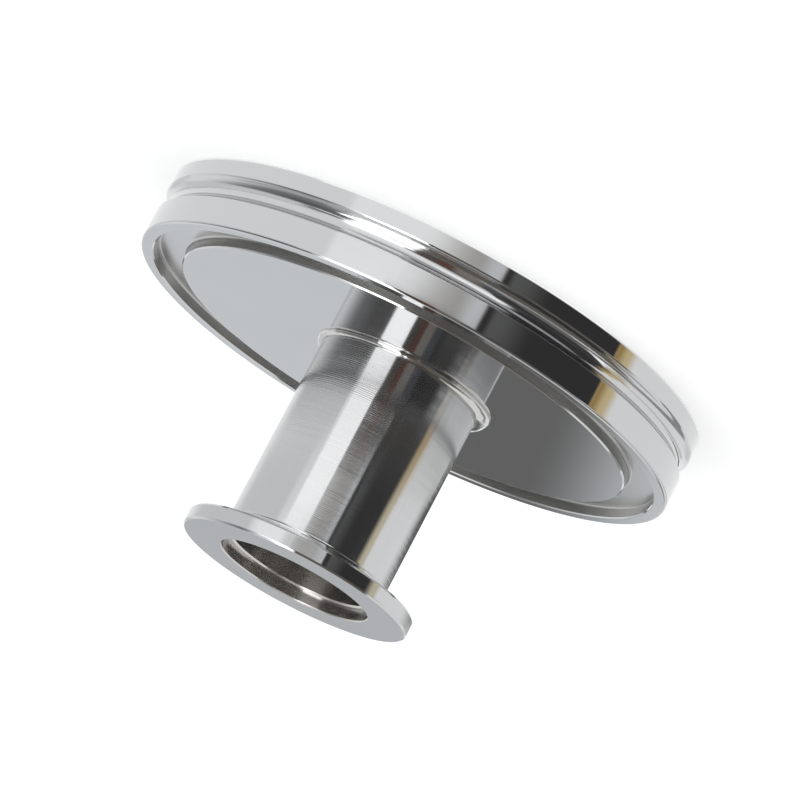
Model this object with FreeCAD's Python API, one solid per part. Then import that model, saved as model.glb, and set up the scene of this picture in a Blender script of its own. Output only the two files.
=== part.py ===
"""A vacuum flange reducer: a wide clamped flange welded to a narrow stub flange.

Both flanges are turned from stainless steel. The wide flange lies on its sealing face at height
zero, the bore runs along Z, and the narrow flange faces up. All lengths are in millimetres.
"""
import FreeCAD, Part
import math
import os

from FreeCAD import Vector

# Wide flange, 63 mm nominal bore
FLANGE_DIAMETER = 95.0
FLANGE_THICKNESS = 12.0
RIM_CHAMFER = 0.3
SEALING_LAND = 12.5
RECESS_DEPTH = 3.0
RECESS_CHAMFER = 0.3

# Groove round the rim, measured from the sealing face
FRONT_BAND = 3.1
GROOVE_WIDTH = 3.75
GROOVE_DEPTH = 1.4
GROOVE_CHAMFER = 0.2

# Channel for the clamp claws, in the back of the flange
LIP_WIDTH = 2.3
RIM_BREAK = 0.4
LIP_CHAMFER = 0.2
CHANNEL_WIDTH = 5.2
CHANNEL_DEPTH = 2.0
CHANNEL_BEVEL = 0.35
DISC_CHAMFER = 0.25

# Stub tube and the socket that it is welded into
OVERALL_LENGTH = 50.0
TUBE_DIAMETER = 28.0
TUBE_WALL = 2.0
SOCKET_DEPTH = 4.0
SOCKET_CLEARANCE = 0.05
BORE_CHAMFER = 0.3

# Narrow flange, 25 mm nominal bore
CLAMP_DIAMETER = 40.0
CLAMP_RIM = 2.8
CLAMP_CHAMFER = 0.3
CLAMP_TAPER = 15.0
HUB_STEP = 1.0
HUB_LAND = 0.3
HUB_BEVEL = 0.35
SEAT_STEP = 1.1
SEAT_DEPTH = 2.0
SEAT_CHAMFER = 0.2

# Fillet weld between the tube and the wide flange
BEAD_HEIGHT = 1.6
BEAD_WIDTH = 2.3
BEAD_CROWN = 0.35
BEAD_SHOULDER = 0.3

FLANGE_RADIUS = FLANGE_DIAMETER / 2
TUBE_RADIUS = TUBE_DIAMETER / 2
BORE_RADIUS = TUBE_RADIUS - TUBE_WALL


class Corner:
    """A corner of a half section, sharp unless it has a chamfer.

    The stretch that arrives here from the corner before is straight, or an arc where it
    passes through a point of its own.
    """

    def __init__(self, radius, height, chamfer=0.0, through=None):
        self.place = Vector(radius, 0, height)
        self.chamfer = chamfer
        self.through = through and Vector(through[0], 0, through[1])

    def cut(self, before, after):
        """The points where the outline arrives at the corner and where it leaves."""
        back = (before.place - self.place).normalize()
        ahead = (after.place - self.place).normalize()
        return self.place + back * self.chamfer, self.place + ahead * self.chamfer


def turned(corners):
    """A solid turned about Z from the closed half section that the corners give in order."""
    cuts = []
    for index, corner in enumerate(corners):
        after = corners[(index + 1) % len(corners)]
        cuts.append(corner.cut(corners[index - 1], after))
    edges = []
    for index, (arrive, leave) in enumerate(cuts):
        left = cuts[index - 1][1]
        through = corners[index].through
        if through:
            edges.append(Part.Arc(left, through, arrive).toShape())
        else:
            edges.append(Part.LineSegment(left, arrive).toShape())
        if arrive.distanceToPoint(leave) > 0:
            edges.append(Part.LineSegment(arrive, leave).toShape())
    face = Part.Face(Part.Wire(edges))
    return face.revolve(Vector(0, 0, 0), Vector(0, 0, 1), 360)


def clamp_flange():
    """The wide flange: groove round the rim, claw channel behind, centring recess in front."""
    recess = FLANGE_RADIUS - SEALING_LAND
    groove_end = FRONT_BAND + GROOVE_WIDTH
    groove_mouth = FLANGE_RADIUS - GROOVE_CHAMFER
    groove_bottom = (FLANGE_RADIUS - GROOVE_DEPTH, FRONT_BAND + GROOVE_WIDTH / 2)
    channel_outer = FLANGE_RADIUS - LIP_WIDTH
    channel_inner = channel_outer - CHANNEL_WIDTH
    channel_floor = FLANGE_THICKNESS - CHANNEL_DEPTH
    socket = TUBE_RADIUS + SOCKET_CLEARANCE
    shoulder = FLANGE_THICKNESS - SOCKET_DEPTH
    return turned([
        Corner(recess, 0, chamfer=RECESS_CHAMFER),
        Corner(FLANGE_RADIUS, 0, chamfer=RIM_CHAMFER),
        Corner(FLANGE_RADIUS, FRONT_BAND - GROOVE_CHAMFER),
        Corner(groove_mouth, FRONT_BAND),
        Corner(groove_mouth, groove_end, through=groove_bottom),
        Corner(FLANGE_RADIUS, groove_end + GROOVE_CHAMFER),
        Corner(FLANGE_RADIUS, FLANGE_THICKNESS, chamfer=RIM_BREAK),
        Corner(channel_outer, FLANGE_THICKNESS, chamfer=LIP_CHAMFER),
        Corner(channel_outer, channel_floor, chamfer=CHANNEL_BEVEL),
        Corner(channel_inner, channel_floor, chamfer=CHANNEL_BEVEL),
        Corner(channel_inner, FLANGE_THICKNESS, chamfer=DISC_CHAMFER),
        Corner(socket, FLANGE_THICKNESS),
        Corner(socket, shoulder),
        Corner(BORE_RADIUS, shoulder),
        Corner(BORE_RADIUS, RECESS_DEPTH, chamfer=BORE_CHAMFER),
        Corner(recess, RECESS_DEPTH),
    ])


def stub_flange():
    """The tube and the narrow flange, turned in one: seat on top, tapered clamp face behind."""
    foot = FLANGE_THICKNESS - SOCKET_DEPTH
    rim = CLAMP_DIAMETER / 2
    hub = TUBE_RADIUS + HUB_STEP
    seat = BORE_RADIUS + SEAT_STEP
    seat_floor = OVERALL_LENGTH - SEAT_DEPTH
    taper_start = OVERALL_LENGTH - CLAMP_RIM
    taper_end = taper_start - (rim - hub) * math.tan(math.radians(CLAMP_TAPER))
    hub_base = taper_end - HUB_LAND
    return turned([
        Corner(BORE_RADIUS, foot),
        Corner(TUBE_RADIUS, foot),
        Corner(TUBE_RADIUS, hub_base, chamfer=HUB_BEVEL),
        Corner(hub, hub_base),
        Corner(hub, taper_end),
        Corner(rim, taper_start, chamfer=CLAMP_CHAMFER),
        Corner(rim, OVERALL_LENGTH, chamfer=CLAMP_CHAMFER),
        Corner(seat, OVERALL_LENGTH, chamfer=SEAT_CHAMFER),
        Corner(seat, seat_floor),
        Corner(BORE_RADIUS, seat_floor, chamfer=BORE_CHAMFER),
    ])


def weld_bead():
    """The fillet weld that runs round the foot of the tube, crowned between its two toes."""
    top = Vector(TUBE_RADIUS, 0, FLANGE_THICKNESS + BEAD_HEIGHT)
    toe = Vector(TUBE_RADIUS + BEAD_WIDTH, 0, FLANGE_THICKNESS)
    outward = Vector(BEAD_HEIGHT, 0, BEAD_WIDTH).normalize() * BEAD_CROWN
    low = toe + (top - toe) * BEAD_SHOULDER + outward
    high = top + (toe - top) * BEAD_SHOULDER + outward
    return turned([
        Corner(TUBE_RADIUS, FLANGE_THICKNESS),
        Corner(toe.x, toe.z),
        Corner(low.x, low.z),
        Corner(high.x, high.z),
        Corner(top.x, top.z),
    ])


NODES = {
    "clamp_flange": clamp_flange,
    "stub_flange": stub_flange,
    "weld_bead": weld_bead,
}


def main():
    """Build every piece and write each one to its own file."""
    os.makedirs("parts", exist_ok=True)
    for name, build in NODES.items():
        shape = build()
        shape.exportStep(f"parts/{name}.step")
        print(f"{name}: {len(shape.Faces)} faces, {shape.Volume:.1f} mm3, valid {shape.isValid()}")


main()
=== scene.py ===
"""A welded vacuum flange reducer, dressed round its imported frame.

The part is stainless steel: a wide flange turned from bar, a stub flange turned in one with its
tube, and the weld that joins them. Each piece is a half section turned about Z by a tree of
geometry nodes, and its finish follows the marks that a lathe leaves. Half sections are given in
millimetres, and everything that Blender holds is in metres.
"""

import logging
import math
from collections.abc import Callable
from dataclasses import dataclass, field
from enum import Enum

import bpy
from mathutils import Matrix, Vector


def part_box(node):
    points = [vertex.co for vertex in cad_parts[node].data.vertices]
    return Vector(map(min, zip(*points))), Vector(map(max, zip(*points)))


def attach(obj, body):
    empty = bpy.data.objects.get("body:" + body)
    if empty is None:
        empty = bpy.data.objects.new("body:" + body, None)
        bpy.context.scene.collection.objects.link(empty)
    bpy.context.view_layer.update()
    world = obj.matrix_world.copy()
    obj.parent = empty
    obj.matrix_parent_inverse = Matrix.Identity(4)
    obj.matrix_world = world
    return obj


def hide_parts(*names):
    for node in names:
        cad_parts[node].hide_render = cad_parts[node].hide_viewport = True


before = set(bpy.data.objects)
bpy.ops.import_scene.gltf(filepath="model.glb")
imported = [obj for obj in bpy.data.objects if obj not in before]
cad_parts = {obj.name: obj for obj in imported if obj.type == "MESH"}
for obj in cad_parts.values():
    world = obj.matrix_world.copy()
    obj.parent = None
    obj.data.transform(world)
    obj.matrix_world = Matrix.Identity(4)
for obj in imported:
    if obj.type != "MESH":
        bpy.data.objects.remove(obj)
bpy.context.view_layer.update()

MM = 0.001
BODY = "root"
NOISE_DETAIL = 2.0
# A face looks along an axis where its normal has more than this share of it
FACING = 0.9
# Sockets of a Mix node that blends colours: both colours going in and the one coming out
FIRST_COLOUR, SECOND_COLOUR, BLENDED = 6, 7, 2

log = logging.getLogger("reducer")


def linear(colour: str) -> tuple[float, float, float, float]:
    """Turn an sRGB hex colour into the linear colour that shaders take.

    Args:
        colour: Six hex digits with a leading hash sign.

    Returns:
        Red, green, blue and an alpha of one.
    """
    channels = []
    for start in (1, 3, 5):
        value = int(colour[start:start + 2], 16) / 255
        channels.append(value / 12.92 if value <= 0.04045 else ((value + 0.055) / 1.055) ** 2.4)
    return channels[0], channels[1], channels[2], 1.0


def add(tree: bpy.types.NodeTree, kind: str, inputs: dict | None = None, **settings) -> bpy.types.Node:
    """Add one node to a tree, with its settings and links.

    Args:
        tree: The tree that the node joins.
        kind: The node's type name.
        inputs: Input names or numbers, each with a value or with the output that feeds it.
        **settings: Properties of the node itself.

    Returns:
        The new node.
    """
    node = tree.nodes.new(kind)
    for name, value in settings.items():
        setattr(node, name, value)
    for key, value in (inputs or {}).items():
        if isinstance(value, bpy.types.NodeSocket):
            tree.links.new(value, node.inputs[key])
        else:
            node.inputs[key].default_value = value
    return node


def empty_tree(owner: bpy.types.Material | bpy.types.World) -> bpy.types.NodeTree:
    """Give a material or a world a tree without any nodes.

    Args:
        owner: The material or the world.

    Returns:
        Its tree.
    """
    owner.use_nodes = True
    owner.node_tree.nodes.clear()
    return owner.node_tree


def hang(name: str, data: bpy.types.ID) -> bpy.types.Object:
    """Put an object into the scene, at the origin.

    Args:
        name: The object's name.
        data: Its mesh or its camera.

    Returns:
        The new object.
    """
    thing = bpy.data.objects.new(name, data)
    bpy.context.scene.collection.objects.link(thing)
    return thing


def millimetres(low: Vector, high: Vector) -> tuple[float, float, float]:
    """Give the radius, bottom and top of a turned node's box.

    Args:
        low: The box's lowest corner, in metres.
        high: Its highest corner.

    Returns:
        Radius, lowest height and highest height in millimetres.
    """
    return high.x / MM, low.z / MM, high.z / MM


@dataclass(frozen=True)
class Corner:
    """One corner of a half section, in millimetres from the axis and above the floor.

    It is sharp, chamfered by so much of both its sides, or rounded with a radius. The stretch
    that arrives here is straight, or an arc where it passes through a point.
    """

    radius: float
    height: float
    chamfer: float = 0.0
    rounding: float = 0.0
    through: tuple[float, float] | None = None

    @property
    def place(self) -> Vector:
        """The corner as a point of the section's plane."""
        return Vector((self.radius, self.height))


def arc(start: Vector, middle: Vector, end: Vector, step: float) -> list[Vector]:
    """Sample the arc that runs through three points.

    Args:
        start: Where the arc begins.
        middle: A point on the way.
        end: Where it ends.
        step: The largest turn between two samples, in radians.

    Returns:
        The points from start to end, both included.
    """
    first, second = middle - start, end - start
    cross = 2 * first.cross(second)
    pull = first * second.length_squared - second * first.length_squared
    centre = start + Vector((-pull.y, pull.x)) / cross
    radius = (start - centre).length
    begin = math.atan2(*reversed(start - centre))
    turn = math.atan2(*reversed(end - centre)) - begin
    direction = 1 if cross > 0 else -1
    turn = direction * ((direction * turn) % math.tau)
    count = max(2, math.ceil(abs(turn) / step))
    samples = []
    for index in range(count + 1):
        angle = begin + turn * index / count
        samples.append(centre + radius * Vector((math.cos(angle), math.sin(angle))))
    return samples


@dataclass(frozen=True)
class HalfSection:
    """A closed half section, walked corner by corner with the metal on its left.

    The guards stand this far from the ends of a stretch, which has none where it is shorter
    than so many of them. An arc turns no further than its step from point to point.
    """

    corners: tuple[Corner, ...]
    guard: float = 0.03
    guards_in_stretch: int = 4
    arc_step: float = math.radians(9)

    def cut(self, index: int) -> list[Vector]:
        """Sample one corner: a point, a chamfer's two ends or a round.

        Args:
            index: Which corner.

        Returns:
            The points from where the outline reaches the corner to where it leaves.
        """
        corner = self.corners[index]
        after = self.corners[(index + 1) % len(self.corners)]
        back = (self.corners[index - 1].place - corner.place).normalized()
        ahead = (after.place - corner.place).normalized()
        if corner.rounding:
            half_angle = back.angle(ahead) / 2
            reach = corner.rounding / math.tan(half_angle)
            inset = corner.rounding / math.sin(half_angle) - corner.rounding
            middle = corner.place + (back + ahead).normalized() * inset
            return arc(corner.place + back * reach, middle, corner.place + ahead * reach, self.arc_step)
        if corner.chamfer:
            return [corner.place + back * corner.chamfer, corner.place + ahead * corner.chamfer]
        return [corner.place]

    def stretch(self, start: Vector, end: Vector) -> list[Vector]:
        """Guard a straight stretch with a point close to each end.

        The guards keep the shading of a broad face flat up to its edge, and leave the edge
        itself the soft glint of a corner broken by hand.

        Args:
            start: Where the stretch begins.
            end: Where it ends.

        Returns:
            The two guards, or nothing on a stretch too short for them.
        """
        if (end - start).length < self.guards_in_stretch * self.guard:
            return []
        along = (end - start).normalized() * self.guard
        return [start + along, end - along]

    def outline(self) -> list[Vector]:
        """Walk the whole section.

        Returns:
            The outline's points in order, with nothing repeated at its close.
        """
        cuts = [self.cut(index) for index in range(len(self.corners))]
        points = []
        for index, samples in enumerate(cuts):
            left = cuts[index - 1][-1]
            through = self.corners[index].through
            if through:
                points += arc(left, Vector(through), samples[0], self.arc_step)[1:-1]
            else:
                points += self.stretch(left, samples[0])
            for number, sample in enumerate(samples):
                if number and self.corners[index].chamfer:
                    points += self.stretch(samples[number - 1], sample)
                points.append(sample)
        return points


def new_tree(name: str, sockets: dict[str, str]) -> tuple[bpy.types.NodeTree, bpy.types.Node]:
    """Start a tree of geometry nodes with named inputs and one geometry out.

    Args:
        name: The tree's name.
        sockets: Input names, each with its socket type, after the section.

    Returns:
        The tree and the node that gives its inputs.
    """
    tree = bpy.data.node_groups.new(name, "GeometryNodeTree")
    tree.interface.new_socket("Geometry", in_out="OUTPUT", socket_type="NodeSocketGeometry")
    tree.interface.new_socket("Section", in_out="INPUT", socket_type="NodeSocketGeometry")
    for label, kind in sockets.items():
        tree.interface.new_socket(label, in_out="INPUT", socket_type=kind)
    return tree, add(tree, "NodeGroupInput")


def close_tree(tree: bpy.types.NodeTree, geometry: bpy.types.NodeSocket,
               material: bpy.types.NodeSocket) -> None:
    """End a tree with smooth faces, real geometry and a material.

    Args:
        tree: The tree to end.
        geometry: What the tree has made.
        material: The finish that its faces take.
    """
    smooth = add(tree, "GeometryNodeSetShadeSmooth", {"Geometry": geometry})
    real = add(tree, "GeometryNodeRealizeInstances", {"Geometry": smooth.outputs[0]})
    finished = add(tree, "GeometryNodeSetMaterial", {"Geometry": real.outputs[0], "Material": material})
    add(tree, "NodeGroupOutput", {"Geometry": finished.outputs[0]})


def lathe(tree: bpy.types.NodeTree, given: bpy.types.Node) -> bpy.types.NodeSocket:
    """Turn the section round Z: a circle of small steps carries it as its profile.

    Args:
        tree: The tree that gets the nodes.
        given: The tree's input node.

    Returns:
        The turned surface.
    """
    path = add(tree, "GeometryNodeCurvePrimitiveCircle",
               {"Resolution": given.outputs["Steps"], "Radius": given.outputs["Path Radius"]})
    profile = add(tree, "GeometryNodeMeshToCurve", {"Mesh": given.outputs["Section"]})
    swept = add(tree, "GeometryNodeCurveToMesh",
                {"Curve": path.outputs["Curve"], "Profile Curve": profile.outputs["Curve"]})
    return swept.outputs["Mesh"]


def turning_tree() -> bpy.types.NodeTree:
    """Build the tree that turns a plain half section.

    Returns:
        The tree, with its steps, path radius and finish as inputs.
    """
    tree, given = new_tree("Turning", {"Steps": "NodeSocketInt", "Path Radius": "NodeSocketFloat",
                                       "Finish": "NodeSocketMaterial"})
    close_tree(tree, lathe(tree, given), given.outputs["Finish"])
    return tree


def welding_tree() -> bpy.types.NodeTree:
    """Build the tree that turns a weld's section and gives it the welder's hand.

    The section grows and shrinks about its root, the corner between tube and disc, so both
    toes stay on the metal that they join. The lean leaves less metal on the side where the
    torch went faster. Slow noise is the waver of the hand, and a fine wave gives each small
    pool its ripple.

    Returns:
        The tree, with the weld's sizes, seed and finish as inputs.
    """
    numbers = ("Path Radius", "Root Radius", "Root Height", "Waver", "Waver Scale", "Lean",
               "Lean Towards", "Pools", "Pool Height", "Seed")
    tree, given = new_tree("Welding", {"Steps": "NodeSocketInt", "Finish": "NodeSocketMaterial",
                                       **dict.fromkeys(numbers, "NodeSocketFloat")})
    swept = lathe(tree, given)
    place = add(tree, "GeometryNodeInputPosition").outputs[0]
    parts = add(tree, "ShaderNodeSeparateXYZ", {0: place})
    angle = add(tree, "ShaderNodeMath", {0: parts.outputs["Y"], 1: parts.outputs["X"]}, operation="ARCTAN2")
    flat = add(tree, "ShaderNodeCombineXYZ", {"X": parts.outputs["X"], "Y": parts.outputs["Y"]})
    outward = add(tree, "ShaderNodeVectorMath", {0: flat.outputs[0]}, operation="NORMALIZE")
    around = add(tree, "ShaderNodeVectorMath",
                 {0: outward.outputs[0], "Scale": given.outputs["Root Radius"]}, operation="SCALE")
    level = add(tree, "ShaderNodeCombineXYZ", {"Z": given.outputs["Root Height"]})
    root = add(tree, "ShaderNodeVectorMath", {0: around.outputs[0], 1: level.outputs[0]}, operation="ADD")
    slow = add(tree, "ShaderNodeTexNoise",
               {"Vector": outward.outputs[0], "W": given.outputs["Seed"],
                "Scale": given.outputs["Waver Scale"], "Detail": NOISE_DETAIL}, noise_dimensions="4D")
    centred = add(tree, "ShaderNodeMath", {0: slow.outputs[0], 1: 0.5}, operation="SUBTRACT")
    waver = add(tree, "ShaderNodeMath", {0: centred.outputs[0], 1: given.outputs["Waver"]},
                operation="MULTIPLY")
    phase = add(tree, "ShaderNodeMath", {0: angle.outputs[0], 1: given.outputs["Pools"]},
                operation="MULTIPLY")
    wave = add(tree, "ShaderNodeMath", {0: phase.outputs[0]}, operation="SINE")
    pools = add(tree, "ShaderNodeMath", {0: wave.outputs[0], 1: given.outputs["Pool Height"]},
                operation="MULTIPLY")
    aside = add(tree, "ShaderNodeMath", {0: angle.outputs[0], 1: given.outputs["Lean Towards"]},
                operation="SUBTRACT")
    side = add(tree, "ShaderNodeMath", {0: aside.outputs[0]}, operation="COSINE")
    behind = add(tree, "ShaderNodeMath", {0: side.outputs[0], 1: 1.0}, operation="SUBTRACT")
    thinner = add(tree, "ShaderNodeMath", {0: behind.outputs[0], 1: given.outputs["Lean"]},
                  operation="MULTIPLY")
    hand = add(tree, "ShaderNodeMath", {0: waver.outputs[0], 1: thinner.outputs[0]}, operation="ADD")
    growth = add(tree, "ShaderNodeMath", {0: hand.outputs[0], 1: pools.outputs[0]}, operation="ADD")
    reach = add(tree, "ShaderNodeVectorMath", {0: place, 1: root.outputs[0]}, operation="SUBTRACT")
    moved = add(tree, "ShaderNodeVectorMath", {0: reach.outputs[0], "Scale": growth.outputs[0]},
                operation="SCALE")
    shaped = add(tree, "GeometryNodeSetPosition", {"Geometry": swept, "Offset": moved.outputs[0]})
    close_tree(tree, shaped.outputs[0], given.outputs["Finish"])
    return tree


def grown(name: str, section: HalfSection, tree: bpy.types.NodeTree, values: dict) -> bpy.types.Object:
    """Turn a half section into a finished plain mesh.

    Args:
        name: The new piece's name.
        section: The half section to turn.
        tree: The tree that turns it.
        values: The tree's inputs by name, beside the section and the path radius.

    Returns:
        The piece, at the origin, with no modifier left on it.
    """
    outline = section.outline()
    path_radius = min(point.x for point in outline)
    wire = bpy.data.meshes.new(name + "_section")
    rows = [((point.x - path_radius) * MM, -point.y * MM, 0.0) for point in reversed(outline)]
    wire.from_pydata(rows, [(index, (index + 1) % len(rows)) for index in range(len(rows))], [])
    holder = hang(name + "_section", wire)
    modifier = holder.modifiers.new("Turned", "NODES")
    modifier.node_group = tree
    given = {"Path Radius": path_radius * MM, **values}
    for item in tree.interface.items_tree:
        if item.in_out == "INPUT" and item.name in given:
            modifier[item.identifier] = given[item.name]
    shown = holder.evaluated_get(bpy.context.evaluated_depsgraph_get())
    mesh = bpy.data.meshes.new_from_object(shown)
    mesh.name = name
    piece = hang(name, mesh)
    bpy.data.objects.remove(holder)
    bpy.data.meshes.remove(wire)
    return piece


@dataclass(frozen=True)
class TurnedSteel:
    """Stainless steel as a lathe leaves it: bright, with fine rings round the axis.

    The rings follow the distance from the axis on a face and the height on a wall. Each one
    leans the surface a little, and they wander and fade in patches to a share of their slope.
    The gloss is drawn out across them, a quarter turn from the tangent. Slow haze stands for
    wiping and handling. The pitch and the haze's size are in millimetres. A tool's real feed
    of about 0.1 mm would be lost in the render, so the rings are two to four times as coarse.
    """

    name: str
    light: str = "#cccdce"
    deep: str = "#c8c8c9"
    roughness: float = 0.055
    haze: float = 0.015
    haze_size: float = 14.0
    haze_detail: float = 3.0
    haze_range: tuple[float, float] = (0.3, 0.7)
    drawn: float = 0.5
    drawn_turn: float = 0.25
    ring_pitch: float = 0.22
    ring_slope: float = 0.006
    ring_wander: float = 6.0
    patch_scale: float = 0.5
    patch_range: tuple[float, float] = (0.4, 0.65)
    faint_share: float = 0.2

    def material(self) -> bpy.types.Material:
        """Build the finish.

        Returns:
            A new material.
        """
        material = bpy.data.materials.new(self.name)
        tree = empty_tree(material)
        place = add(tree, "ShaderNodeTexCoord").outputs["Object"]
        flat = add(tree, "ShaderNodeVectorMath", {0: place, 1: (1, 1, 0)}, operation="MULTIPLY")
        radius = add(tree, "ShaderNodeVectorMath", {0: flat.outputs[0]}, operation="LENGTH")
        parts = add(tree, "ShaderNodeSeparateXYZ", {0: place})
        rings = add(tree, "ShaderNodeCombineXYZ", {"X": radius.outputs["Value"], "Y": parts.outputs["Z"]})
        fine = add(tree, "ShaderNodeVectorMath", {0: rings.outputs[0], "Scale": 1 / (self.ring_pitch * MM)},
                   operation="SCALE")
        drift = add(tree, "ShaderNodeVectorMath", {0: place, "Scale": 1 / (self.haze_size * MM)},
                    operation="SCALE")
        marks = add(tree, "ShaderNodeVectorMath", {0: fine.outputs[0], 1: drift.outputs[0]}, operation="ADD")
        cut = add(tree, "ShaderNodeTexNoise", {"Vector": marks.outputs[0], "Scale": self.patch_scale,
                                               "Detail": NOISE_DETAIL})
        count = add(tree, "ShaderNodeVectorMath", {0: fine.outputs[0], 1: (math.tau, math.tau, 0)},
                    operation="DOT_PRODUCT")
        swing = add(tree, "ShaderNodeMath",
                    {0: cut.outputs[0], 1: self.ring_wander, 2: count.outputs["Value"]},
                    operation="MULTIPLY_ADD")
        wave = add(tree, "ShaderNodeMath", {0: swing.outputs[0]}, operation="SINE")
        depth = add(tree, "ShaderNodeMapRange",
                    {"Value": cut.outputs[0], "From Min": self.patch_range[0],
                     "From Max": self.patch_range[1], "To Min": self.ring_slope * self.faint_share,
                     "To Max": self.ring_slope})
        lean = add(tree, "ShaderNodeMath", {0: wave.outputs[0], 1: depth.outputs[0]}, operation="MULTIPLY")
        along = add(tree, "ShaderNodeTangent", direction_type="RADIAL", axis="Z").outputs[0]
        upright = add(tree, "ShaderNodeNewGeometry").outputs["Normal"]
        across = add(tree, "ShaderNodeVectorMath", {0: along, 1: upright}, operation="CROSS_PRODUCT")
        leaning = add(tree, "ShaderNodeVectorMath", {0: across.outputs[0], "Scale": lean.outputs[0]},
                      operation="SCALE")
        tilted = add(tree, "ShaderNodeVectorMath", {0: upright, 1: leaning.outputs[0]}, operation="ADD")
        normal = add(tree, "ShaderNodeVectorMath", {0: tilted.outputs[0]}, operation="NORMALIZE")
        cloud = add(tree, "ShaderNodeTexNoise", {"Vector": drift.outputs[0], "Scale": 1.0,
                                                 "Detail": self.haze_detail})
        rough = add(tree, "ShaderNodeMapRange",
                    {"Value": cloud.outputs[0], "From Min": self.haze_range[0],
                     "From Max": self.haze_range[1], "To Min": self.roughness - self.haze,
                     "To Max": self.roughness + self.haze})
        tone = add(tree, "ShaderNodeMix", {"Factor": cloud.outputs[0], FIRST_COLOUR: linear(self.deep),
                                           SECOND_COLOUR: linear(self.light)}, data_type="RGBA")
        steel = add(tree, "ShaderNodeBsdfPrincipled", {
            "Base Color": tone.outputs[BLENDED], "Metallic": 1.0, "Roughness": rough.outputs[0],
            "Anisotropic": self.drawn, "Anisotropic Rotation": self.drawn_turn, "Tangent": along,
            "Normal": normal.outputs[0]})
        add(tree, "ShaderNodeOutputMaterial", {"Surface": steel.outputs[0]})
        return material


@dataclass(frozen=True)
class WeldSteel:
    """Weld metal: the same steel, frozen from the melt, bright, with a faint soft grain.

    The grain's size and depth are in millimetres.
    """

    name: str = "bright_weld_bead"
    light: str = "#d0cfcd"
    deep: str = "#c4c3c1"
    roughness: float = 0.11
    grain_size: float = 1.6
    grain_depth: float = 0.004

    def material(self) -> bpy.types.Material:
        """Build the finish.

        Returns:
            A new material.
        """
        material = bpy.data.materials.new(self.name)
        tree = empty_tree(material)
        place = add(tree, "ShaderNodeTexCoord").outputs["Object"]
        scaled = add(tree, "ShaderNodeVectorMath", {0: place, "Scale": 1 / (self.grain_size * MM)},
                     operation="SCALE")
        grain = add(tree, "ShaderNodeTexNoise", {"Vector": scaled.outputs[0], "Scale": 1.0,
                                                 "Detail": NOISE_DETAIL})
        bump = add(tree, "ShaderNodeBump", {"Strength": 1.0, "Distance": self.grain_depth * MM,
                                            "Height": grain.outputs[0]})
        tone = add(tree, "ShaderNodeMix", {"Factor": grain.outputs[0], FIRST_COLOUR: linear(self.deep),
                                           SECOND_COLOUR: linear(self.light)}, data_type="RGBA")
        steel = add(tree, "ShaderNodeBsdfPrincipled", {
            "Base Color": tone.outputs[BLENDED], "Metallic": 1.0, "Roughness": self.roughness,
            "Normal": bump.outputs[0]})
        add(tree, "ShaderNodeOutputMaterial", {"Surface": steel.outputs[0]})
        return material


class Zone(Enum):
    """The differently finished parts of the turned pieces."""

    RIM = "fine_turned_steel"
    DISC = "polished_turned_steel"
    FLOOR = "turned_channel_floor"
    # The channel's walls are darker here as painted shade in the narrow channel
    CHANNEL = "rough_channel_painted_shade"
    GROOVE = "form_turned_groove"
    FACE = "lapped_sealing_face"
    TUBE = "lathe_marked_tube"
    BORE = "bored_steel"


FINISHES = {
    # Turned with a fine feed: sharp mirror images, a little drawn out along the axis
    Zone.RIM: TurnedSteel(Zone.RIM.value),
    # Turned and then polished: a mirror with a breath of haze and hardly a ring
    Zone.DISC: TurnedSteel(Zone.DISC.value, roughness=0.06, drawn=0.3, ring_slope=0.001),
    # Cut by a narrow tool and left so: a soft, even grey without images
    Zone.FLOOR: TurnedSteel(Zone.FLOOR.value, light="#c6c7c7", deep="#c0c1c1", roughness=0.22, drawn=0.3,
                            ring_slope=0.004),
    # The channel's walls, scraped by the tool's flanks: the roughest steel of all, with a darker colour that
    # is painted shade for the narrow channel
    Zone.CHANNEL: TurnedSteel(Zone.CHANNEL.value, light="#b6b5b3", deep="#acaba9", roughness=0.26,
                              ring_pitch=0.4, ring_slope=0.004),
    # Cut by a round tool in one plunge: highlights spread by close rings
    Zone.GROOVE: TurnedSteel(Zone.GROOVE.value, roughness=0.11, drawn=0.8, ring_pitch=0.3, ring_slope=0.02),
    # Lapped to seal: satin grey, and even from edge to edge
    Zone.FACE: TurnedSteel(Zone.FACE.value, light="#a5a6a7", deep="#9fa0a1", roughness=0.2, ring_slope=0.006),
    # Turned with a coarser feed: lathe marks that comb the edges of every image
    Zone.TUBE: TurnedSteel(Zone.TUBE.value, roughness=0.11, drawn=0.8, ring_pitch=0.33, ring_slope=0.035),
    # Bored and never polished: dim, with long glints across its rings
    Zone.BORE: TurnedSteel(Zone.BORE.value, light="#cfccc8", deep="#c2bfbb", roughness=0.19, drawn=0.9,
                           ring_pitch=0.4, ring_slope=0.03),
}


def dress(piece: bpy.types.Object, zone_at: Callable[[Vector, Vector], Zone],
          finishes: dict[Zone, bpy.types.Material]) -> None:
    """Give each face of a piece the finish of its zone.

    Args:
        piece: The piece to dress.
        zone_at: Says the zone of a face from its centre, in millimetres, and its normal.
        finishes: The material of each zone.
    """
    order, indices = [], []
    for face in piece.data.polygons:
        zone = zone_at(face.center / MM, face.normal)
        if zone not in order:
            order.append(zone)
        indices.append(order.index(zone))
    piece.data.materials.clear()
    for zone in order:
        piece.data.materials.append(finishes[zone])
    piece.data.polygons.foreach_set("material_index", indices)


def stand_for(piece: bpy.types.Object, node: str) -> None:
    """Let a finished piece stand for its node.

    Args:
        piece: The finished piece.
        node: The node that it stands for.
    """
    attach(piece, BODY)
    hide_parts(node)


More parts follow.
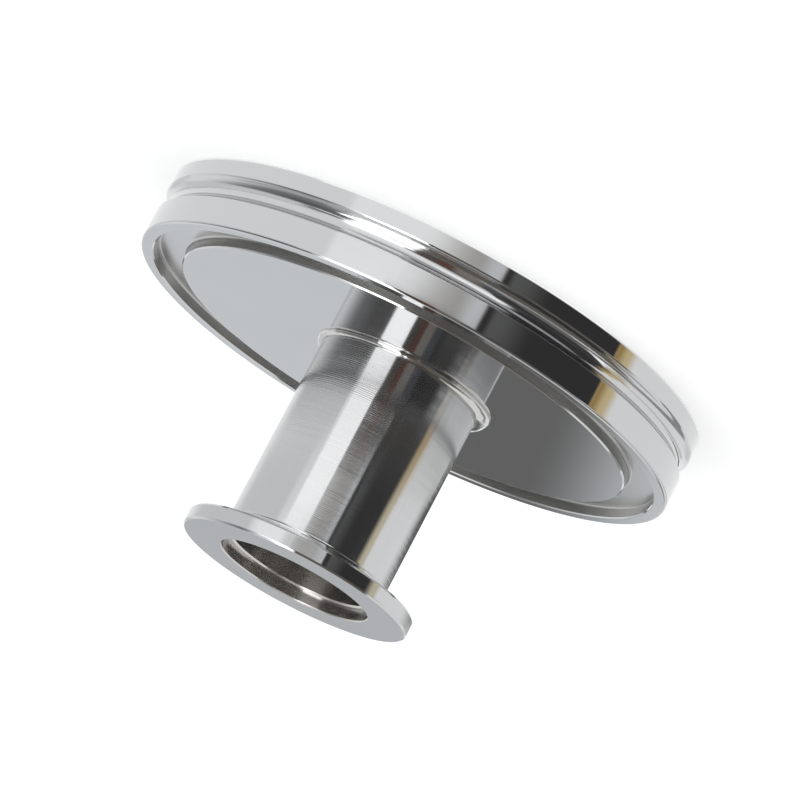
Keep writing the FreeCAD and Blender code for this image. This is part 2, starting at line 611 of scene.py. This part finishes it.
@dataclass
class ClampFlange:
    """The wide flange: a disc with a grooved rim, a claw channel behind and a recess in front.

    Sizes are in millimetres. The margin is how far a face may lie past its zone's bounds.
    """

    name: str = "clamp_flange_turned"
    node: str = "clamp_flange"
    slot: str = "polished_flange"
    steps: int = 360
    rim_chamfer: float = 0.3
    sealing_land: float = 12.5
    recess_depth: float = 3.0
    recess_chamfer: float = 0.3
    front_band: float = 3.1
    groove_width: float = 3.75
    groove_depth: float = 1.4
    groove_chamfer: float = 0.2
    lip_width: float = 2.3
    lip_round: float = 0.4
    lip_chamfer: float = 0.2
    channel_width: float = 5.2
    channel_depth: float = 2.0
    channel_round: float = 0.5
    disc_chamfer: float = 0.25
    socket_depth: float = 4.0
    bore_chamfer: float = 0.3
    margin: float = 0.05
    radius: float = field(init=False)
    thickness: float = field(init=False)

    def __post_init__(self) -> None:
        """Read the flange's outer size from the frame."""
        self.radius, _, self.thickness = millimetres(*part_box(self.node))

    @property
    def disc_radius(self) -> float:
        """The radius at which the disc drops into the claw channel."""
        return self.radius - self.lip_width - self.channel_width

    def section(self, tube_radius: float, bore_radius: float) -> HalfSection:
        """Lay out the flange's half section.

        Args:
            tube_radius: The outside of the tube that stands in the socket.
            bore_radius: The gas passage through the disc.

        Returns:
            The section.
        """
        recess = self.radius - self.sealing_land
        groove_end = self.front_band + self.groove_width
        groove_mouth = self.radius - self.groove_chamfer
        groove_bottom = (self.radius - self.groove_depth, self.front_band + self.groove_width / 2)
        channel_outer = self.radius - self.lip_width
        channel_floor = self.thickness - self.channel_depth
        shoulder = self.thickness - self.socket_depth
        return HalfSection((
            Corner(recess, 0, chamfer=self.recess_chamfer),
            Corner(self.radius, 0, chamfer=self.rim_chamfer),
            Corner(self.radius, self.front_band - self.groove_chamfer),
            Corner(groove_mouth, self.front_band),
            Corner(groove_mouth, groove_end, through=groove_bottom),
            Corner(self.radius, groove_end + self.groove_chamfer),
            Corner(self.radius, self.thickness, rounding=self.lip_round),
            Corner(channel_outer, self.thickness, chamfer=self.lip_chamfer),
            Corner(channel_outer, channel_floor, rounding=self.channel_round),
            Corner(self.disc_radius, channel_floor, rounding=self.channel_round),
            Corner(self.disc_radius, self.thickness, chamfer=self.disc_chamfer),
            Corner(tube_radius, self.thickness),
            Corner(tube_radius, shoulder),
            Corner(bore_radius, shoulder),
            Corner(bore_radius, self.recess_depth, chamfer=self.bore_chamfer),
            Corner(recess, self.recess_depth),
        ))

    def zone_at(self, centre: Vector, normal: Vector) -> Zone:
        """Say how a face of the flange is finished.

        Args:
            centre: The face's centre in millimetres.
            normal: Its normal.

        Returns:
            The zone.
        """
        across = math.hypot(centre.x, centre.y)
        if normal.z > FACING and across < self.radius - self.lip_width:
            return Zone.DISC if across < self.disc_radius else Zone.FLOOR
        beyond = across - self.disc_radius
        if abs(beyond - self.channel_width / 2) < self.channel_width / 2 + self.margin:
            if centre.z > self.thickness - self.channel_depth + self.margin:
                return Zone.CHANNEL
        into_rim = self.radius - across
        if self.groove_chamfer < into_rim < self.groove_depth + self.margin:
            if self.front_band < centre.z < self.front_band + self.groove_width:
                return Zone.GROOVE
        if normal.z < -FACING and centre.z < self.rim_chamfer:
            return Zone.FACE
        return Zone.RIM

    def build(self, turning: bpy.types.NodeTree, finishes: dict[Zone, bpy.types.Material],
              tube_radius: float, bore_radius: float) -> bpy.types.Object:
        """Turn the flange, finish its faces and let it stand for its node.

        Args:
            turning: The tree that turns a section.
            finishes: The material of each zone.
            tube_radius: The outside of the tube that stands in the socket.
            bore_radius: The gas passage through the disc.

        Returns:
            The finished piece.
        """
        piece = grown(self.name, self.section(tube_radius, bore_radius), turning,
                      {"Steps": self.steps, "Finish": finishes[Zone.RIM]})
        dress(piece, self.zone_at, finishes)
        stand_for(piece, self.node)
        return piece


@dataclass
class StubFlange:
    """The tube and the narrow flange, turned in one. Sizes are in millimetres."""

    name: str = "stub_flange_turned"
    node: str = "stub_flange"
    slot: str = "turned_stub"
    steps: int = 256
    tube_radius: float = 14.0
    tube_wall: float = 2.0
    clamp_rim: float = 2.8
    clamp_chamfer: float = 0.3
    clamp_taper: float = math.radians(15)
    hub_step: float = 1.0
    hub_land: float = 0.3
    hub_round: float = 0.6
    seat_step: float = 1.1
    seat_depth: float = 2.0
    seat_chamfer: float = 0.2
    bore_chamfer: float = 0.3
    radius: float = field(init=False)
    foot: float = field(init=False)
    top: float = field(init=False)

    def __post_init__(self) -> None:
        """Read the stub's outer size from the frame."""
        self.radius, self.foot, self.top = millimetres(*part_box(self.node))

    @property
    def bore_radius(self) -> float:
        """The radius of the gas passage."""
        return self.tube_radius - self.tube_wall

    def section(self) -> HalfSection:
        """Lay out the stub's half section.

        Returns:
            The section.
        """
        hub = self.tube_radius + self.hub_step
        seat = self.bore_radius + self.seat_step
        seat_floor = self.top - self.seat_depth
        taper_start = self.top - self.clamp_rim
        taper_end = taper_start - (self.radius - hub) * math.tan(self.clamp_taper)
        hub_base = taper_end - self.hub_land
        return HalfSection((
            Corner(self.bore_radius, self.foot),
            Corner(self.tube_radius, self.foot),
            Corner(self.tube_radius, hub_base, rounding=self.hub_round),
            Corner(hub, hub_base),
            Corner(hub, taper_end),
            Corner(self.radius, taper_start, chamfer=self.clamp_chamfer),
            Corner(self.radius, self.top, chamfer=self.clamp_chamfer),
            Corner(seat, self.top, chamfer=self.seat_chamfer),
            Corner(seat, seat_floor),
            Corner(self.bore_radius, seat_floor, chamfer=self.bore_chamfer),
        ))

    def zone_at(self, centre: Vector, normal: Vector) -> Zone:
        """Say how a face of the stub is finished.

        Args:
            centre: The face's centre in millimetres.
            normal: Its normal.

        Returns:
            The zone.
        """
        across = math.hypot(centre.x, centre.y)
        inward = normal.x * centre.x + normal.y * centre.y < 0
        if normal.z > FACING and centre.z > self.top - self.seat_chamfer / 2:
            return Zone.FACE
        if across < self.tube_radius and inward:
            return Zone.BORE
        if across < self.tube_radius + self.hub_step / 2:
            return Zone.TUBE
        return Zone.RIM

    def build(self, turning: bpy.types.NodeTree,
              finishes: dict[Zone, bpy.types.Material]) -> bpy.types.Object:
        """Turn the stub, finish its faces and let it stand for its node.

        Args:
            turning: The tree that turns a section.
            finishes: The material of each zone.

        Returns:
            The finished piece.
        """
        piece = grown(self.name, self.section(), turning,
                      {"Steps": self.steps, "Finish": finishes[Zone.TUBE]})
        dress(piece, self.zone_at, finishes)
        stand_for(piece, self.node)
        return piece


@dataclass
class WeldBead:
    """The fillet weld round the foot of the tube.

    Edge and crown are in millimetres: how high the toe stands, and how far the middle stands
    out from the straight line between the toes. Waver, lean and pool height are shares of the
    bead's section.
    """

    name: str = "weld_bead_run"
    node: str = "weld_bead"
    slot: str = "weld_metal"
    steps: int = 720
    edge: float = 0.3
    crown: float = 0.5
    waver: float = 0.3
    waver_scale: float = 2.6
    lean: float = 0.3
    lean_towards: float = math.radians(135)
    pools: float = 90.0
    pool_height: float = 0.0008
    seed: float = 4.0
    outer: float = field(init=False)
    root: float = field(init=False)
    top: float = field(init=False)

    def __post_init__(self) -> None:
        """Read the bead's size from the frame."""
        self.outer, self.root, self.top = millimetres(*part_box(self.node))

    def section(self, tube_radius: float) -> HalfSection:
        """Lay out the bead's half section, crowned between its two toes.

        Args:
            tube_radius: The outside of the tube.

        Returns:
            The section.
        """
        head = Vector((tube_radius, self.top))
        toe = Vector((self.outer, self.root + self.edge))
        outward = Vector((head.y - toe.y, toe.x - head.x)).normalized()
        crown = (head + toe) / 2 + outward * self.crown
        return HalfSection((
            Corner(tube_radius, self.root),
            Corner(self.outer, self.root),
            Corner(toe.x, toe.y),
            Corner(head.x, head.y, through=(crown.x, crown.y)),
        ))

    def build(self, tube_radius: float) -> bpy.types.Object:
        """Run the bead round the tube and let it stand for its node.

        Args:
            tube_radius: The outside of the tube.

        Returns:
            The finished piece.
        """
        piece = grown(self.name, self.section(tube_radius), welding_tree(), {
            "Steps": self.steps, "Root Radius": tube_radius * MM, "Root Height": self.root * MM,
            "Waver": self.waver, "Waver Scale": self.waver_scale, "Lean": self.lean,
            "Lean Towards": self.lean_towards, "Pools": self.pools, "Pool Height": self.pool_height,
            "Seed": self.seed, "Finish": WeldSteel().material()})
        stand_for(piece, self.node)
        return piece


@dataclass(frozen=True)
class Panel:
    """A patch of the dome round the part, seen only in the steel.

    Azimuths run anticlockwise from the X axis and elevations up from the floor, both in degrees
    and seen from the part. The patch shows one even colour and fades out over so many degrees
    at its sides and ends. It leans by so many degrees for each degree that it rises. Its
    distance is in metres.
    """

    name: str
    azimuth: tuple[float, float]
    elevation: tuple[float, float]
    colour: str
    strength: float = 1.0
    distance: float = 1.2
    sides: tuple[float, float] = (2.0, 2.0)
    ends: tuple[float, float] = (2.0, 2.0)
    lean: float = 0.0
    steps: int = 24

    def material(self) -> bpy.types.Material:
        """Build the patch's glow, which fades towards its edges.

        Returns:
            A new material.
        """
        material = bpy.data.materials.new(self.name)
        tree = empty_tree(material)
        across = add(tree, "ShaderNodeSeparateXYZ", {0: add(tree, "ShaderNodeUVMap").outputs[0]})
        cover = None
        for axis, span, fades in (("X", self.azimuth, self.sides), ("Y", self.elevation, self.ends)):
            full = span[1] - span[0]
            for edge, inner in ((0.0, fades[0]), (full, full - fades[1])):
                fade = add(tree, "ShaderNodeMapRange",
                           {"Value": across.outputs[axis], "From Min": edge, "From Max": inner},
                           interpolation_type="SMOOTHSTEP").outputs[0]
                cover = fade if cover is None else add(
                    tree, "ShaderNodeMath", {0: cover, 1: fade}, operation="MULTIPLY").outputs[0]
        glow = add(tree, "ShaderNodeEmission", {"Color": linear(self.colour), "Strength": self.strength})
        clear = add(tree, "ShaderNodeBsdfTransparent")
        mixed = add(tree, "ShaderNodeMixShader", {0: cover, 1: clear.outputs[0], 2: glow.outputs[0]})
        add(tree, "ShaderNodeOutputMaterial", {"Surface": mixed.outputs[0]})
        return material

    def build(self) -> None:
        """Hang the patch in its place, hidden from the camera and casting no shadow."""
        steps = self.steps
        points, faces, corners = [], [], []
        wide, tall = self.azimuth[1] - self.azimuth[0], self.elevation[1] - self.elevation[0]
        for row in range(steps + 1):
            rise = tall * row / steps
            level = math.radians(self.elevation[0] + rise)
            for column in range(steps + 1):
                turn = math.radians(self.azimuth[0] + self.lean * rise + wide * column / steps)
                points.append((self.distance * math.cos(level) * math.cos(turn),
                               self.distance * math.cos(level) * math.sin(turn),
                               self.distance * math.sin(level)))
        for row in range(steps):
            for column in range(steps):
                first = row * (steps + 1) + column
                faces.append((first, first + 1, first + steps + 2, first + steps + 1))
                for right, up in ((0, 0), (1, 0), (1, 1), (0, 1)):
                    corners.append((wide * (column + right) / steps, tall * (row + up) / steps))
        mesh = bpy.data.meshes.new(self.name)
        mesh.from_pydata(points, [], faces)
        layer = mesh.uv_layers.new(name="degrees")
        for number, place in enumerate(corners):
            layer.data[number].uv = place
        mesh.materials.append(self.material())
        panel = hang(self.name, mesh)
        panel.visible_camera = False
        panel.visible_diffuse = False
        panel.visible_shadow = False


PANELS = (
    # The room towards -X: a dark wall with a warm edge and light above it, a curtain, a door, a post
    Panel("dark_wall", (183, 244.3), (-55, 60), "#3b3b3c", distance=1.3, sides=(2, 3), ends=(4, 46),
          lean=0.28),
    Panel("wall_end", (232, 252), (-22, -8), "#676767", distance=1.29, sides=(16, 3), ends=(4, 2)),
    Panel("wall_gap", (247, 263), (-9, 54), "#5d6064", distance=1.25, sides=(5, 2), ends=(2, 54)),
    Panel("curtain_edge", (250.5, 262), (-20, -8), "#dde0e2", distance=1.27, sides=(3, 8), ends=(3, 2),
          lean=0.5),
    Panel("grey_curtain", (250.5, 298), (-20, -8), "#bcbab7", distance=1.28, sides=(3, 28), ends=(3, 2),
          lean=0.5),
    Panel("camera_side", (259, 291), (-9, 48), "#5c5855", distance=1.26, sides=(3, 2), ends=(2, 10)),
    Panel("brown_post", (269.5, 280), (-9, 44), "#6c4d43", distance=1.23, sides=(4, 4), ends=(3, 8)),
    Panel("door_gap", (257, 273), (-6, 60), "#8c8783", distance=1.24, sides=(5, 3), ends=(8, 8)),
    Panel("bright_cover", (181, 246), (8, 64), "#ffffff", strength=2.2, distance=1.34, sides=(12, 14),
          ends=(14, 3)),
    Panel("warm_edge", (186.2, 198.8), (-30, 26), "#dfcc9e", distance=1.27, sides=(5.5, 1.6), ends=(6, 30)),
    Panel("warm_core", (192.2, 199), (-30, 12), "#ab8c58", distance=1.24, sides=(5, 2.2), ends=(6, 18)),
    # The large lamp beside the camera, with its foot, its glow on the floor and its top
    Panel("key_light", (287.5, 320), (-9, 72), "#ffffff", strength=2.05, sides=(2, 3), ends=(2, 6)),
    Panel("key_foot", (287.5, 319), (-13.6, -7.5), "#ffffff", strength=1.38, distance=1.21, sides=(2, 3),
          ends=(1, 1.5)),
    Panel("key_glow", (263, 320), (-40, -12), "#ffffff", strength=1.17, distance=1.22, sides=(26, 4),
          ends=(10, 1.5)),
    Panel("key_top", (302, 352), (60, 82), "#ffffff", strength=1.7, distance=1.18, sides=(2, 20),
          ends=(3, 4)),
    # The dim room towards +X, and a gap in the bright ceiling
    Panel("side_room", (318, 412), (0, 64), "#86888a", distance=1.28, sides=(3, 45), ends=(7, 10)),
    Panel("side_dark", (320, 372), (4, 50), "#666564", distance=1.24, sides=(3, 30), ends=(8, 24)),
    Panel("ceiling_gap", (178, 304), (64, 79), "#3c3a39", distance=1.16, sides=(8, 2), ends=(1, 2)),
    # Light that comes up from below the part's own level
    Panel("low_glow", (240, 288), (-47, -21), "#ffffff", strength=1.35, distance=1.25, sides=(8, 16),
          ends=(6, 4)),
    Panel("low_shade", (190, 335), (-80, -45), "#bcbcbd", distance=1.26, sides=(15, 15), ends=(3, 4)),
    Panel("under_glow", (30, 150), (-88, -52), "#ffffff", strength=1.5, distance=1.26, sides=(10, 10),
          ends=(3, 4)),
    # What stands behind the part
    Panel("back_wall", (55, 125), (5, 24), "#dfe2e5", distance=1.3, sides=(15, 15), ends=(4, 6)),
    Panel("back_flag", (91, 119), (11, 29), "#717171", distance=0.12, sides=(2, 15), ends=(2, 1.5)),
    Panel("back_stand", (98, 152), (-13, -9.1), "#555555", distance=1.3, sides=(3, 32), ends=(0.5, 1)),
    # Close cards, two that show in the tube's own image in the disc and two that show in the bore
    Panel("mirror_shade", (190, 256), (18, 29), "#5a5958", distance=0.12, sides=(12, 16), ends=(2, 2)),
    Panel("mirror_side", (118, 213), (18, 29), "#a2a2a2", distance=0.121, sides=(10, 18), ends=(2, 2)),
    Panel("high_shade", (178, 287), (31, 78), "#6a655e", distance=0.15, sides=(8, 2), ends=(3, 4)),
    Panel("high_lamp", (289, 323), (31, 76), "#ffffff", strength=3.6, distance=0.17, sides=(2, 3),
          ends=(3, 6)),
    # Close cards that give the narrow flange and both ends of the tube their own tones
    Panel("rim_fade", (283, 300), (10.9, 16), "#eeeeee", distance=0.1225, sides=(6, 6), ends=(0.6, 1)),
    Panel("rim_glow", (288, 330), (10.9, 16), "#ffffff", strength=1.22, distance=0.122, sides=(12, 14),
          ends=(0.6, 1)),
    Panel("near_white", (183, 206), (1.4, 16), "#ffffff", distance=0.126, sides=(3, 4), ends=(1, 1)),
    Panel("near_warm", (195.5, 212), (1.4, 16), "#dad1b6", distance=0.1245, sides=(6, 9), ends=(1, 1)),
    Panel("gap_light", (186, 226), (14.9, 18.2), "#e6e6e5", distance=0.1215, sides=(4, 14), ends=(0.5, 0.6)),
    Panel("low_warm", (196, 210), (-3.4, 2.6), "#c4ac86", distance=0.1205, sides=(5, 6), ends=(0.4, 1)),
    Panel("near_wall", (203, 252), (-3.4, 3.4), "#4e4c4a", distance=0.121, sides=(8, 4), ends=(0.4, 2.4)),
    Panel("camera_shade", (246, 288.6), (-3.4, 2.9), "#484441", distance=0.12, sides=(3, 1),
          ends=(0.4, 0.6)),
    Panel("brown_shade", (269, 280), (-3.4, 1.9), "#55413a", distance=0.118, sides=(4, 4),
          ends=(0.4, 0.8)),
    Panel("left_shade", (318, 415), (-3.4, 3.8), "#ccced0", distance=0.12, sides=(2, 25), ends=(0.6, 6)),
    Panel("left_wall", (322, 412), (2, 15), "#e9eaeb", distance=0.123, sides=(8, 20), ends=(2, 0.8)),
    Panel("right_shade", (132, 203), (-3.4, 2.6), "#d2d3d1", distance=0.122, sides=(6, 8), ends=(0.6, 3)),
)


@dataclass
class Studio:
    """A pale floor, soft light, the panels round the part and the camera.

    The floor's radius is in metres, the camera's place in millimetres and its turns in degrees.
    """

    floor_radius: float = 4.0
    floor_sides: int = 96
    floor_colour: str = "#f4f4f4"
    floor_glow: float = 0.38
    world_colour: str = "#feffff"
    world_light: float = 0.8
    camera_place: tuple[float, float, float] = (0.0, -935.29, 242.71)
    camera_turn: tuple[float, float, float] = (-74.634, 27.022, -172.79)
    camera_lens: float = 268.75
    camera_sensor: float = 36.0
    camera_near: float = 0.01

    def seen(self, tree: bpy.types.NodeTree) -> bpy.types.NodeSocket:
        """Tell the rays that show a thing, straight or in gloss or glass, from those that only light.

        Args:
            tree: The tree that gets the nodes.

        Returns:
            One for a ray that shows the thing, and otherwise zero.
        """
        path = add(tree, "ShaderNodeLightPath").outputs
        shown = path["Is Camera Ray"]
        for kind in ("Is Glossy Ray", "Is Transmission Ray"):
            shown = add(tree, "ShaderNodeMath", {0: shown, 1: path[kind]}, operation="MAXIMUM").outputs[0]
        return shown

    def floor(self) -> None:
        """Lay the floor: white to the eye, with the part's soft shadow on it."""
        material = bpy.data.materials.new("pale_floor")
        tree = empty_tree(material)
        card = add(tree, "ShaderNodeBsdfDiffuse", {"Color": linear(self.floor_colour)})
        glow = add(tree, "ShaderNodeMath", {0: self.seen(tree), 1: self.floor_glow}, operation="MULTIPLY")
        white = add(tree, "ShaderNodeEmission", {"Color": linear("#ffffff"), "Strength": glow.outputs[0]})
        both = add(tree, "ShaderNodeAddShader", {0: card.outputs[0], 1: white.outputs[0]})
        add(tree, "ShaderNodeOutputMaterial", {"Surface": both.outputs[0]})
        mesh = bpy.data.meshes.new("floor")
        turns = [math.tau * side / self.floor_sides for side in range(self.floor_sides)]
        ring = [(self.floor_radius * math.cos(turn), self.floor_radius * math.sin(turn), 0.0)
                for turn in turns]
        mesh.from_pydata(ring, [], [tuple(range(self.floor_sides))])
        mesh.materials.append(material)
        floor = hang("floor", mesh)
        floor.visible_glossy = False

    def world(self) -> None:
        """Surround the part with white, plain for the eye and the steel, softer as a lamp."""
        world = bpy.data.worlds.new("white_studio")
        bpy.context.scene.world = world
        tree = empty_tree(world)
        strength = add(tree, "ShaderNodeMapRange",
                       {"Value": self.seen(tree), "To Min": self.world_light, "To Max": 1.0})
        white = add(tree, "ShaderNodeBackground",
                    {"Color": linear(self.world_colour), "Strength": strength.outputs[0]})
        add(tree, "ShaderNodeOutputWorld", {"Surface": white.outputs[0]})

    def camera(self) -> None:
        """Set up the camera as in the photograph: far off, a little raised and rolled right over."""
        data = bpy.data.cameras.new("camera")
        data.sensor_width = self.camera_sensor
        data.lens = self.camera_lens
        data.clip_start = self.camera_near
        camera = hang("camera", data)
        camera.location = Vector(self.camera_place) * MM
        camera.rotation_euler = [math.radians(turn) for turn in self.camera_turn]
        bpy.context.scene.camera = camera

    def build(self) -> None:
        """Build everything round the part."""
        self.floor()
        self.world()
        for panel in PANELS:
            panel.build()
        self.camera()
        bpy.context.scene.view_settings.view_transform = "Standard"


def main() -> None:
    """Build the part, then the studio round it."""
    logging.basicConfig(level=logging.INFO, format="%(name)s: %(message)s")
    finishes = {zone: finish.material() for zone, finish in FINISHES.items()}
    turning = turning_tree()
    stub = StubFlange()
    pieces = (
        stub.build(turning, finishes),
        ClampFlange().build(turning, finishes, stub.tube_radius, stub.bore_radius),
        WeldBead().build(stub.tube_radius),
    )
    for piece in pieces:
        log.info("%s: %d faces", piece.name, len(piece.data.polygons))
    Studio().build()


if __name__ == "__main__":
    main()
